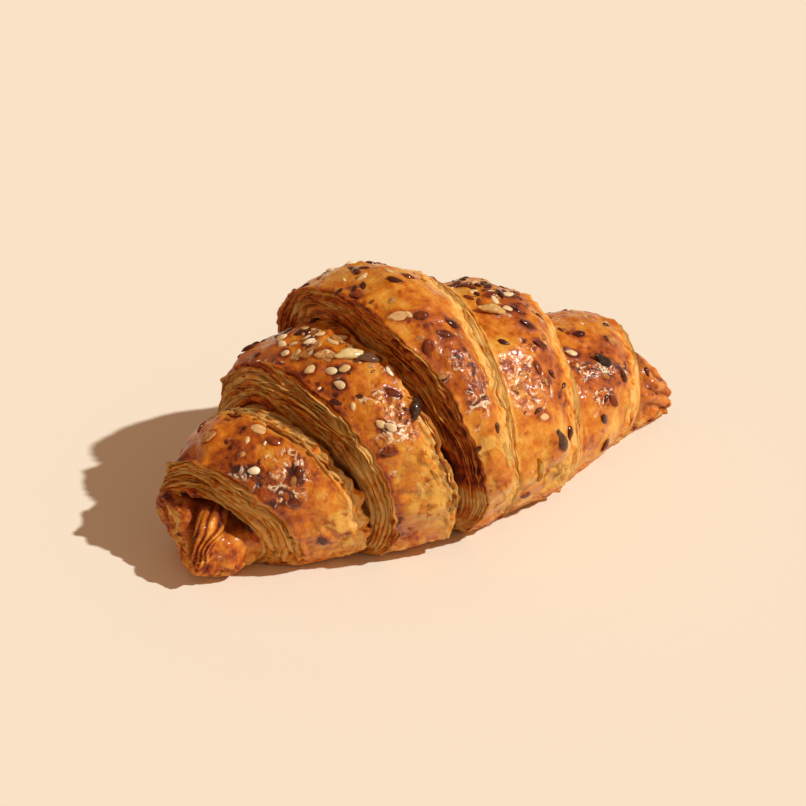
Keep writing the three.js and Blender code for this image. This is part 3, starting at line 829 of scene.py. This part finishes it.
def sheetEdge(chance, ring, shareAt, degreesAt, arc, width, lean, tone):  # one thin sheet's ragged free edge
    last = ringRow[ring]
    first = ringRow[ringTable[ringIndex[ring] - 1][0]]
    radius = ringSizes[ringIndex[ring]][4] + 4
    steps = max(8, int(math.radians(arc) * radius / sheetEdges["step"]))
    t = np.linspace(0, 1, steps)
    degrees = degreesAt + (t - 0.5) * arc
    slide = np.stack([t * arc * 0.07 + shareAt * 20, t * 0 + degreesAt, t * 0], -1)
    share = np.clip(shareAt + 0.05 * field(slide, 1.0, 91), 0.01, 0.995)
    rows = first + share * (last - first)
    columns = np.interp(np.radians(degrees), angles, np.arange(len(angles)))
    root = between(shape, rows, columns)
    outwards = between(normals, rows, columns)
    ahead = between(smoothAhead, rows, columns)
    ahead -= outwards * (ahead * outwards).sum(1)[:, None]
    ahead /= np.maximum(np.linalg.norm(ahead, axis=1, keepdims=True), 1e-9)
    tilt = math.radians(lean)
    out = outwards * math.cos(tilt) + ahead * math.sin(tilt)
    flat = ahead * math.cos(tilt) - outwards * math.sin(tilt)
    ragged = 0.75 + 0.12 * field(root + shareAt * 50, 1.6, 92) + 0.35 * field(root + shareAt * 50, 6.5, 93)
    ends = np.sin(np.pi * np.clip(t, 0.004, 0.996)) ** 0.4
    reach = width * np.clip(ragged, *sheetEdges["ragged"]) * ends
    curl = sheetEdges["curl"] * width * field(root, 8.0, 94)
    lying = smooth(60, 75, lean)
    lines = []
    for far, side, girth, *_ in edgeSection:
        length = -sheetEdges["sunk"] * (far == 0) + reach * far
        bend = curl * far ** 2 + side * sheetEdges["thick"] * girth / 2
        rise = lying * (0.55 * far - 0.35)
        lines.append(root + out * length[:, None] + flat * bend[:, None] + outwards * rise)
    points = np.stack(lines, 1)
    paleTipAndHighlight, dark, across = (np.array([line[k] for line in edgeSection]) for k in (3, 4, 5))
    # the tip is paler, as thinner dough with a painted highlight on the crest
    tones = tone + 0.2 * chance.uniform(-1, 1) + 0.12 * field(points, 3.0, 95) - 0.25 * paleTipAndHighlight
    # painted shade at the root, where the edge sinks into the crust
    rootShade = np.broadcast_to(dark * (1 - 0.8 * lying), tones.shape)
    grain = np.stack([t[:, None] * 0 + across + shareAt * 40,
                      np.broadcast_to((t * steps * 0.16)[:, None], tones.shape), tones * 0], -1)
    return points, tones, rootShade, grain


def sheetEdgePiece(name):  # every free edge, as one piece
    chance = np.random.default_rng(sheetEdges["seed"])
    verts, faces, tones, rootShade, grains = [], [], [], [], []
    laid = 0
    for ring, count, low, high, start, end, arcs, widths, leans, tone in sheetEdges["sets"]:
        for number in range(count):
            shareAt = low + (high - low) * (number + chance.uniform(0, 1)) / count
            arc = chance.uniform(*arcs)
            middle = chance.uniform(start + arc / 2, max(end - arc / 2, start + arc / 2 + 1))
            width = chance.uniform(*widths)
            lean = chance.uniform(*leans)
            points, edgeTones, dark, grain = sheetEdge(chance, ring, shareAt, middle, arc, width, lean, tone)
            steps, sides = points.shape[:2]
            ids = laid + np.arange(steps * sides).reshape(steps, sides)
            laid += steps * sides
            turned = np.roll(ids, -1, 1)
            faces += np.stack([ids[:-1], ids[1:], turned[1:], turned[:-1]], -1).reshape(-1, 4).tolist()
            faces += [ids[0].tolist(), ids[-1][::-1].tolist()]
            verts.append(points.reshape(-1, 3))
            tones.append(edgeTones.reshape(-1))
            rootShade.append(dark.reshape(-1))
            grains.append(grain.reshape(-1, 3))
    verts = np.concatenate(verts)
    verts[:, 2] = np.maximum(verts[:, 2], 0.02)
    tones = np.clip(np.concatenate(tones), 0, 1)
    return meshPiece(name, verts, faces, {"wetGlint": tones * 0, "bake": tones, "sheet": tones * 0 + 0.9,
                                          "gap": np.concatenate(rootShade), "grain": np.concatenate(grains)})


edges = sheetEdgePiece("flaky_sheet_edges")
edges.data.materials.append(doughFinish)
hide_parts("pastry")
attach(edges, "root")
print("croissant: sheet edges laid,", len(edges.data.polygons), "faces")

# Seeds by kind: sizes in mm, how pointed the end is, a crease along the middle, and two tones of the husk
seedKinds = {
    "sesame_seed": {"length": 3.3, "width": 2.15, "thick": 1.1, "taper": 0.42, "crease": 0.0,
                    "colors": ("#f6e6bf", "#d8b074"), "shine": 0.35},
    "flax_seed": {"length": 4.5, "width": 2.3, "thick": 1.3, "taper": 0.5, "crease": 0.1,
                  "colors": ("#8c3c12", "#421406"), "shine": 0.8},
    "oat_flake": {"length": 4.6, "width": 2.9, "thick": 1.0, "taper": 0.3, "crease": 0.8,
                  "colors": ("#e2b67a", "#a4682f"), "shine": 0.2},
    "sunflower_kernel": {"length": 8.0, "width": 3.2, "thick": 2.2, "taper": 0.55, "crease": 0.12,
                         "colors": ("#e6cf8f", "#c08f48"), "shine": 0.4},
    "sunflower_seed": {"length": 6.8, "width": 3.1, "thick": 1.9, "taper": 0.45, "crease": 0.15,
                       "colors": ("#6e4a34", "#2a160d"), "shine": 0.8},
}
# the husks' finish, with the size of the grain and the height of its bump in mm
husk = {"grain": 0.909, "bump": 0.3, "roughness": 0.45, "coatRoughness": 0.12}
# how a seed is seated: where it drops from and how far, in mm, how far its middle sits above the crust as a
# share of its thickness, and how steeply one end tips up
seedDrop = {"from": 6.0, "reach": 20.0, "seat": 0.24, "tip": 0.16}
crustTree = BVHTree.FromPolygons([v.co for v in pastry.data.vertices],
                                 [p.vertices for p in pastry.data.polygons])


def seedPoints(kind, seed, rows=10, around=14):  # one drop-shaped seed, in mm, pointed end towards +X
    points = []
    for r in range(rows + 1):
        turn = math.pi * r / rows
        along = -math.cos(turn)
        girth = math.sin(turn) * (1 - kind["taper"] * max(along, 0) ** 1.2)
        for a in range(around):
            side = 2 * math.pi * a / around
            groove = 1 - kind["crease"] * math.exp(-(math.cos(side) / 0.35) ** 2) * (math.sin(side) > 0)
            points.append((along * kind["length"] / 2, girth * math.cos(side) * kind["width"] / 2,
                           girth * math.sin(side) * kind["thick"] / 2 * groove))
    points = np.array(points)
    points *= 1 + 0.1 * field(points, 1.3, seed)[:, None]
    bend = 0.12 * kind["thick"] * np.sin(points[:, 0] * 1.1 + seed)  # each one bends its own way
    points[:, 2] += bend + 0.1 * field(points, 2.5, seed + 3)
    ids = np.arange((rows + 1) * around).reshape(rows + 1, around)
    turned = np.roll(ids, -1, 1)
    return points, np.stack([ids[:-1], ids[1:], turned[1:], turned[:-1]], -1).reshape(-1, 4)


def seedMaterial(name, kind):  # dry seed husk under a little egg wash
    made = bpy.data.materials.new(name + "_husk")
    made.use_nodes = True
    tree = made.node_tree
    shader = tree.nodes["Principled BSDF"]
    place = node(tree, "ShaderNodeTexCoord").outputs["Object"]
    tone = node(tree, "ShaderNodeAttribute", {"attribute_name": "tone"}).outputs["Fac"]
    grain = node(tree, "ShaderNodeTexNoise", {"Scale": 1 / (husk["grain"] * mm), "Detail": 3.0},
                 {"Vector": place})
    both = node(tree, "ShaderNodeMath", {"operation": "MULTIPLY_ADD", 1: 0.6}, {0: tone, 2: grain})
    color = ramp(tree, both, [(0.4, kind["colors"][0]), (1.05, kind["colors"][1])])
    tree.links.new(color, shader.inputs["Base Color"])
    bump = node(tree, "ShaderNodeBump", {"Strength": 0.4, "Distance": husk["bump"] * mm},
                {"Height": grain})
    tree.links.new(bump.outputs[0], shader.inputs["Normal"])
    shader.inputs["Roughness"].default_value = husk["roughness"]
    shader.inputs["Specular IOR Level"].default_value = 0.05
    shader.inputs["Coat Weight"].default_value = kind["shine"]
    shader.inputs["Coat Roughness"].default_value = husk["coatRoughness"]
    return made


seedFinish = {name: seedMaterial(name, kind) for name, kind in seedKinds.items()}


def seedPiece(name, kind):  # every CAD seed of a kind, seated in the crust
    verts, faces, tones = [], [], []
    names = sorted(key for key in seedSpots if key.startswith(name))
    for number, key in enumerate(names):
        middle, turn = seedSpots[key]
        start = Vector(middle + turn[:, 2] * seedDrop["from"] * mm)
        hit = crustTree.ray_cast(start, Vector(-turn[:, 2]), seedDrop["reach"] * mm)[0]
        seat = np.array(hit) / mm + turn[:, 2] * kind["thick"] * seedDrop["seat"]
        points, quads = seedPoints(kind, number + 1)
        points[:, 2] += points[:, 0] * seedDrop["tip"] * math.sin(number * 2.4)  # each one tips its own way
        faces += (quads + len(verts)).tolist()
        verts += (points @ turn.T + seat).tolist()
        tones += [(number * 0.618) % 1] * len(points)  # and neighbours differ in tone
    piece = meshPiece(name + "s", verts, faces, {"tone": tones})
    piece.data.materials.append(seedFinish[name])
    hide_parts(*names)
    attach(piece, "root")


for name, kind in seedKinds.items():
    seedPiece(name, kind)
print("croissant: seeds laid")

# Small bits that lie loose between the seeds, scattered by Geometry Nodes.
# piece: the seed it is made of, bits per square metre, least distance apart in mm, smallest and largest as a
# share of the seed, the mark that says where they lie, and the seed number of the scatter
sprinkles = {
    "flax_seed_bits": ("flax_seed", 60000.0, 1.9, 0.3, 0.8, "top", 3),
    "sesame_bits": ("sesame_seed", 30000.0, 2.5, 0.3, 0.8, "top", 5),
    "oat_bits": ("oat_flake", 40000.0, 2.1, 0.25, 0.65, "top", 8),
    "heaped_flax_seeds": ("flax_seed", 90000.0, 2.4, 0.85, 1.15, "darkHeap", 31),
    "heaped_oat_flakes": ("oat_flake", 60000.0, 3.4, 0.7, 1.05, "paleHeap", 41),
    "heaped_sesame_seeds": ("sesame_seed", 60000.0, 3.2, 0.9, 1.15, "paleHeap", 37),
    "slope_sesame_seeds": ("sesame_seed", 60000.0, 3.6, 0.9, 1.2, "darkHeap", 43),
    "far_flax_seeds": ("flax_seed", 3500.0, 6.5, 0.85, 1.1, "far", 13),
    "far_sesame_seeds": ("sesame_seed", 3500.0, 7.5, 0.9, 1.15, "far", 21),
}
# where seeds lie in heaps: wrap's end ring, share, degrees, reach in mm
paleHeaps = [("shoulderRim", 0.4, -8, 6.5), ("shoulderRim", 0.7, -2, 6.5)]
darkHeaps = [("slopeRim", 0.1, -8, 6), ("slopeRim", 0.3, -3, 6.5), ("crownRim", 0.3, -12, 5)]


def heapShare(spots, heaps):
    return sum(near(np.linalg.norm(spots - wrapPoint(*place), axis=-1), reach) for *place, reach in heaps)


def sprinkleMarks(mesh):  # where bits may lie: over the glazed tops, and on the far side
    spots = np.array([v.co[:] for v in mesh.vertices]) / mm
    facing = np.array([v.normal[:] for v in mesh.vertices])
    glazed = np.empty(len(spots), dtype=np.float32)
    mesh.attributes["glaze"].data.foreach_get("value", glazed)
    sheeted = np.empty(len(spots), dtype=np.float32)
    mesh.attributes["sheet"].data.foreach_get("value", sheeted)
    free = glazed * (sheeted < 0.1) * (spots[:, 0] > -68)
    patches = smooth(-0.5, 0.5, field(spots, 9.0, 71))
    pale, dark = heapShare(spots, paleHeaps), heapShare(spots, darkHeaps)
    top = free * np.clip(0.45 * smooth(0.3, 0.75, facing[:, 2]) * patches + pale + dark, 0, 1)
    far = free * smooth(0.15, 0.4, facing[:, 2]) * smooth(0.25, 0.45, facing[:, 1])
    setMark(mesh, "paleHeap", free * smooth(0.35, 0.6, pale))
    setMark(mesh, "darkHeap", free * smooth(0.35, 0.6, dark))
    setMark(mesh, "top", top)
    setMark(mesh, "far", far)


def sprinkleTree(where):  # scatters a small shape over faces, lying flat, each turned and sized at random
    tree = bpy.data.node_groups.new("sprinkle_" + where, "GeometryNodeTree")
    sockets = {}
    for title, kind in (("Geometry", "Geometry"), ("Bit", "Object"), ("Density", "Float"),
                        ("Spacing", "Float"), ("Smallest", "Float"), ("Largest", "Float"), ("Seed", "Int"),
                        ("Finish", "Material")):
        made = tree.interface.new_socket(title, in_out="INPUT", socket_type="NodeSocket" + kind)
        sockets[title] = made.identifier
    tree.interface.new_socket("Geometry", in_out="OUTPUT", socket_type="NodeSocketGeometry")
    given = node(tree, "NodeGroupInput").outputs
    share = node(tree, "GeometryNodeInputNamedAttribute", {"data_type": "FLOAT", "Name": where})
    points = node(tree, "GeometryNodeDistributePointsOnFaces", {"distribute_method": "POISSON"},
                  {"Mesh": given["Geometry"], "Distance Min": given["Spacing"],
                   "Density Max": given["Density"], "Density Factor": share, "Seed": given["Seed"]})
    spin = node(tree, "FunctionNodeRandomValue", {"data_type": "FLOAT"}, {"Seed": given["Seed"]})
    spin.inputs[3].default_value = 2 * math.pi
    turn = node(tree, "FunctionNodeAxisAngleToRotation", {"Axis": (0, 0, 1)}, {"Angle": spin.outputs[1]})
    laid = node(tree, "FunctionNodeRotateRotation", {"rotation_space": "LOCAL"},
                {0: points.outputs["Rotation"], 1: turn})
    size = node(tree, "FunctionNodeRandomValue", {"data_type": "FLOAT", "ID": 0}, {"Seed": given["Seed"]})
    tree.links.new(given["Smallest"], size.inputs[2])
    tree.links.new(given["Largest"], size.inputs[3])
    bit = node(tree, "GeometryNodeObjectInfo", None, {"Object": given["Bit"]})
    placed = node(tree, "GeometryNodeInstanceOnPoints", None,
                  {"Points": points.outputs["Points"], "Instance": bit.outputs["Geometry"],
                   "Rotation": laid, "Scale": size.outputs[1]})
    chance = node(tree, "FunctionNodeRandomValue", {"data_type": "FLOAT"}, {"Seed": given["Seed"]})
    toned = node(tree, "GeometryNodeStoreNamedAttribute",
                 {"data_type": "FLOAT", "domain": "INSTANCE", "Name": "tone"},
                 {"Geometry": placed, "Value": chance.outputs[1]})
    real = node(tree, "GeometryNodeRealizeInstances", None, {"Geometry": toned})
    finished = node(tree, "GeometryNodeSetMaterial", None,
                    {"Geometry": real, "Material": given["Finish"]})
    node(tree, "NodeGroupOutput", None, {0: finished})
    return tree, sockets


def sprinkle(name, kindName, density, spacing, smallest, largest, where, seed):
    kind = seedKinds[kindName]
    points, quads = seedPoints(kind, seed, rows=6, around=8)
    bit = meshPiece(name + "_shape", points, quads.tolist(), {})
    tree, sockets = sprinkleTree(where)
    carrier = bpy.data.objects.new(name + "_carrier", pastry.data.copy())
    bpy.context.collection.objects.link(carrier)
    laid = carrier.modifiers.new("scatter", "NODES")
    laid.node_group = tree
    given = {"Bit": bit, "Density": density, "Spacing": spacing * mm, "Smallest": smallest,
             "Largest": largest, "Seed": seed, "Finish": seedFinish[kindName]}
    for title, value in given.items():
        laid[sockets[title]] = value
    graph = bpy.context.evaluated_depsgraph_get()
    mesh = bpy.data.meshes.new_from_object(carrier.evaluated_get(graph), depsgraph=graph)
    carrier.modifiers.remove(laid)
    mesh.polygons.foreach_set("use_smooth", [True] * len(mesh.polygons))
    piece = bpy.data.objects.new(name, mesh)
    bpy.context.collection.objects.link(piece)
    bpy.data.objects.remove(carrier)
    bpy.data.objects.remove(bit)
    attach(piece, "root")
    print("croissant:", name, len(mesh.polygons), "faces")


sprinkleMarks(pastry.data)
for name, settings in sprinkles.items():
    sprinkle(name, *settings)


def paint(name, code, roughness):
    made = bpy.data.materials.new(name)
    made.use_nodes = True
    shader = made.node_tree.nodes["Principled BSDF"]
    shader.inputs["Base Color"].default_value = linear(code)
    shader.inputs["Roughness"].default_value = roughness
    shader.inputs["Specular IOR Level"].default_value = 0.1
    return made


stage = {
    "size": 6.0, "color": "#f0e8d4",    # the floor, in metres
    "sunColor": "#ffffff", "sunPower": 3.25, "sunAngle": 1.4, "sunAround": -45, "sunUp": 44,
    "fillColor": "#ffcba6", "fillPower": 0.38,
}
view = {"around": -30, "up": 33, "lens": 85, "away": 0.5143, "target": (-0.0069, 0.0043, 0.028)}


def setStage():
    half = stage["size"] / 2
    mesh = bpy.data.meshes.new("floor")
    corners = [(-half, -half, 0), (half, -half, 0), (half, half, 0), (-half, half, 0)]
    mesh.from_pydata(corners, [], [[0, 1, 2, 3]])
    floor = bpy.data.objects.new("floor", mesh)
    bpy.context.collection.objects.link(floor)
    mesh.materials.append(paint("matt_painted_board", stage["color"], 0.9))
    sun = bpy.data.objects.new("sun", bpy.data.lights.new("sun", "SUN"))
    sun.data.energy = stage["sunPower"]
    sun.data.angle = math.radians(stage["sunAngle"])
    sun.data.color = linear(stage["sunColor"])[:3]
    around, up = math.radians(stage["sunAround"]), math.radians(stage["sunUp"])
    towards = Vector((math.cos(around) * math.cos(up), math.sin(around) * math.cos(up), math.sin(up)))
    sun.rotation_euler = towards.to_track_quat("Z", "Y").to_euler()
    bpy.context.collection.objects.link(sun)
    world = bpy.data.worlds.new("soft_room")
    world.use_nodes = True
    world.node_tree.nodes["Background"].inputs["Color"].default_value = linear(stage["fillColor"])
    world.node_tree.nodes["Background"].inputs["Strength"].default_value = stage["fillPower"]
    bpy.context.scene.world = world
    bpy.context.scene.view_settings.view_transform = "Standard"


def setCamera():
    around, up = math.radians(view["around"]), math.radians(view["up"])
    back = Vector((math.sin(around) * math.cos(up), -math.cos(around) * math.cos(up), math.sin(up)))
    camera = bpy.data.objects.new("camera", bpy.data.cameras.new("camera"))
    camera.data.lens = view["lens"]
    camera.location = Vector(view["target"]) + back * view["away"]
    camera.rotation_euler = back.to_track_quat("Z", "Y").to_euler()
    bpy.context.collection.objects.link(camera)
    bpy.context.scene.camera = camera


setStage()
setCamera()
print("croissant: stage, light and camera set")
